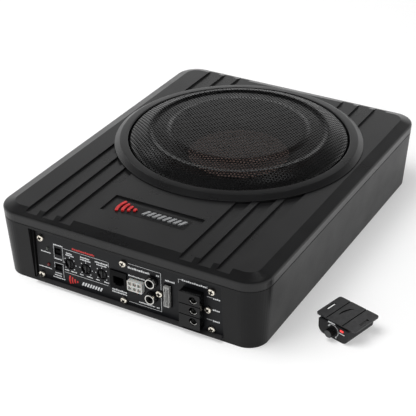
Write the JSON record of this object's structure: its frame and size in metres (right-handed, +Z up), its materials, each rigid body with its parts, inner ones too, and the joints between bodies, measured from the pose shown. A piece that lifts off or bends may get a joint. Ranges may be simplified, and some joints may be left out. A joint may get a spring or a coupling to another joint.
{
  "type": "powered car subwoofer",
  "caption": "Flat under-seat powered subwoofer: moulded case, round steel grille over the driver, control and connection panel at one end, and a small wired level control.",
  "frame": {"origin": "centre of the enclosure's flat underside, on the surface it stands on", "axes": "+Z up, -Y out of the control panel, +X to the right of someone facing the control panel"},
  "size_m": [0.3158, 0.3254, 0.0799],
  "materials": {
    "textured_abs": "fine spark-eroded texture",
    "black_plastic": "satin",
    "black_steel": "powder coated",
    "zinc": "yellow zinc plated",
    "nickel": "nickel plated",
    "silver_plastic": "silver",
    "white_nylon": "moulded",
    "clear_plastic": "clear",
    "green_lens": "unlit lens",
    "red_lens": "lens",
    "board": "solder mask",
    "aluminium": "extruded",
    "plated_steel": "zinc plated",
    "ferrite": "sintered",
    "rubber": "matt",
    "cone_paper": "pressed pulp",
    "cap_plastic": "satin",
    "copper": "enamelled wire",
    "treated_cloth": "woven",
    "foam": "closed cell"
  },
  "bodies": {
    "enclosure": {"lower_tub": "textured_abs", "top_cover": "textured_abs", "cover_gasket": "foam", "case_screw_1": "black_steel", "case_screw_2": "black_steel", "case_screw_3": "black_steel", "case_screw_4": "black_steel", "badge": "silver_plastic", "grille_ring": "textured_abs", "grille": "black_steel", "driver_basket": "black_steel", "surround": "rubber", "spider": "treated_cloth", "top_plate": "plated_steel", "magnet": "ferrite", "back_plate": "plated_steel", "control_panel": "black_steel", "panel_screw_1": "zinc", "panel_screw_2": "zinc", "panel_screw_3": "zinc", "panel_screw_4": "zinc", "panel_screw_5": "zinc", "panel_screw_6": "zinc", "panel_screw_7": "zinc", "panel_screw_8": "zinc", "lowpass_pot": "aluminium", "input_level_pot": "aluminium", "bass_boost_pot": "aluminium", "phase_switch_body": "black_plastic", "level_switch_body": "black_plastic", "power_led": "green_lens", "protect_led": "red_lens", "remote_jack": "black_plastic", "high_level_connector": "white_nylon", "rca_socket_right": "nickel", "rca_socket_left": "nickel", "fuse_holder": "black_plastic", "terminal_block": "black_plastic", "circuit_board": "board", "heat_spreader": "aluminium", "power_transformer": "copper", "filter_capacitor": "black_plastic", "speaker_lead": "rubber"},
    "cone_assembly": {"cone": "cone_paper", "dust_cap": "cap_plastic", "voice_coil": "copper"},
    "lowpass_knob": {"lowpass_knob": "black_plastic"},
    "input_level_knob": {"input_level_knob": "black_plastic"},
    "bass_boost_knob": {"bass_boost_knob": "black_plastic"},
    "phase_switch": {"phase_switch_lever": "black_plastic"},
    "level_switch": {"level_switch_lever": "black_plastic"},
    "fuse": {"fuse": "clear_plastic"},
    "terminal_screw_1": {"terminal_screw_1": "nickel"},
    "terminal_screw_2": {"terminal_screw_2": "nickel"},
    "terminal_screw_3": {"terminal_screw_3": "nickel"},
    "remote_control": {"remote_housing": "black_plastic", "remote_bracket": "black_plastic", "remote_led": "red_lens", "remote_socket": "black_plastic"},
    "remote_knob": {"remote_knob": "black_plastic"}
  },
  "joints": [
    {"name": "cone_travel", "type": "slide", "parent": "enclosure", "child": "cone_assembly", "axis": [0, 0, 1], "range_m": [-0.006, 0.006], "stiffness_N_per_m": 1800, "deforming": ["surround", "spider"]},
    {"name": "lowpass_turn", "type": "hinge", "parent": "enclosure", "child": "lowpass_knob", "pos_m": [-0.0546, -0.153, 0.0255], "axis": [0, -1, 0], "range_deg": [-135, 135]},
    {"name": "input_level_turn", "type": "hinge", "parent": "enclosure", "child": "input_level_knob", "pos_m": [-0.0385, -0.153, 0.0255], "axis": [0, -1, 0], "range_deg": [-135, 135]},
    {"name": "bass_boost_turn", "type": "hinge", "parent": "enclosure", "child": "bass_boost_knob", "pos_m": [-0.0229, -0.153, 0.0255], "axis": [0, -1, 0], "range_deg": [-135, 135]},
    {"name": "phase_switch_slide", "type": "slide", "parent": "enclosure", "child": "phase_switch", "axis": [0, 0, 1], "range_m": [0, 0.0024]},
    {"name": "level_switch_slide", "type": "slide", "parent": "enclosure", "child": "level_switch", "axis": [0, 0, 1], "range_m": [0, 0.0024]},
    {"name": "fuse_pull", "type": "slide", "parent": "enclosure", "child": "fuse", "axis": [0, -1, 0], "range_m": [0, 0.02]},
    {"name": "terminal_screw_1_turn", "type": "hinge", "parent": "enclosure", "child": "terminal_screw_1", "pos_m": [0.0662, -0.155, 0.0137], "axis": [0, -1, 0], "range_deg": [0, 360]},
    {"name": "terminal_screw_2_turn", "type": "hinge", "parent": "enclosure", "child": "terminal_screw_2", "pos_m": [0.0662, -0.155, 0.0237], "axis": [0, -1, 0], "range_deg": [0, 360]},
    {"name": "terminal_screw_3_turn", "type": "hinge", "parent": "enclosure", "child": "terminal_screw_3", "pos_m": [0.0662, -0.155, 0.0337], "axis": [0, -1, 0], "range_deg": [0, 360]},
    {"name": "remote_lift", "type": "slide", "parent": "enclosure", "child": "remote_control", "axis": [0, 0, 1], "range_m": [0, 0.15]},
    {"name": "remote_knob_turn", "type": "hinge", "parent": "remote_control", "child": "remote_knob", "pos_m": [0.16791, -0.0962, 0.0073], "axis": [-0.2622, -0.965, 0], "range_deg": [-150, 150]}
  ]
}
